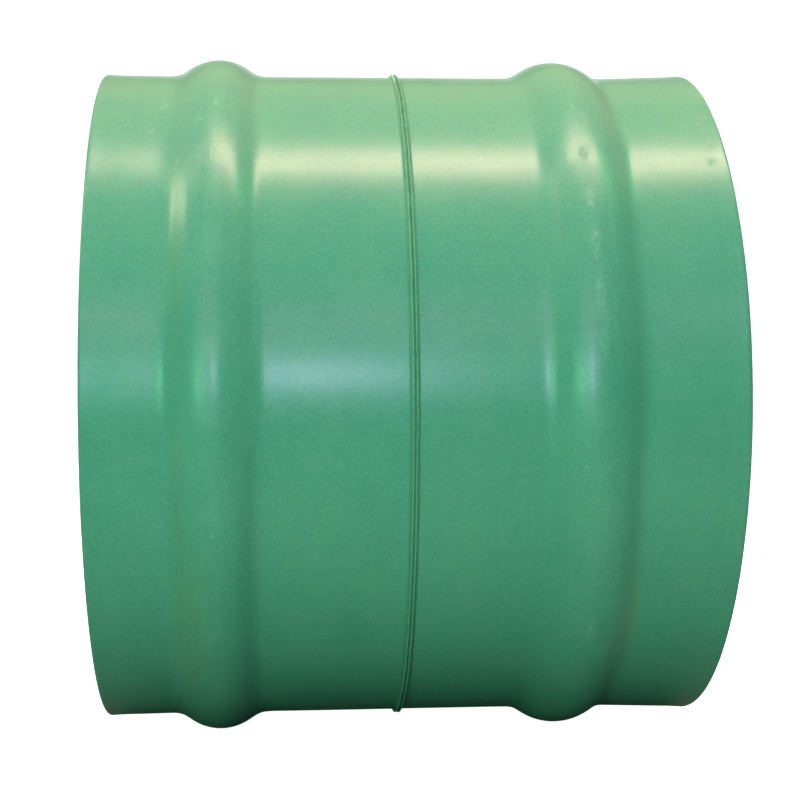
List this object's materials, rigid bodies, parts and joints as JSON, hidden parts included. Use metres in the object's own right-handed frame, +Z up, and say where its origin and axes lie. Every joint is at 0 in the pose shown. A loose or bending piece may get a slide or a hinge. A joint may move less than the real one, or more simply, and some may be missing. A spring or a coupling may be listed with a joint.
{
  "type": "pipe coupling",
  "caption": "Green plastic sewer pipe coupling: bells welded back to back, each with a raised gasket race and a plain mouth.",
  "frame": {"origin": "middle of the coupling's length, on the pipe axis; the weld is 2.6 mm from it, towards the left bell", "axes": "+X along the pipe axis, towards the right bell's mouth; +Z up as pictured"},
  "size_m": [0.371, 0.4336, 0.4335],
  "materials": {
    "pvc_green": "semi-gloss moulded green PVC with light scuffs",
    "weld_bead": "glossy rolled green PVC melt",
    "gasket_rubber": "matt black rubber",
    "steel_band": "plain rolled steel strip"
  },
  "bodies": {
    "root": {"left_bell": "pvc_green", "right_bell": "pvc_green", "outer_weld_bead": "weld_bead", "inner_weld_bead": "weld_bead", "left_gasket": "gasket_rubber", "right_gasket": "gasket_rubber", "left_gasket_steel_band": "steel_band", "right_gasket_steel_band": "steel_band"}
  },
  "joints": []
}
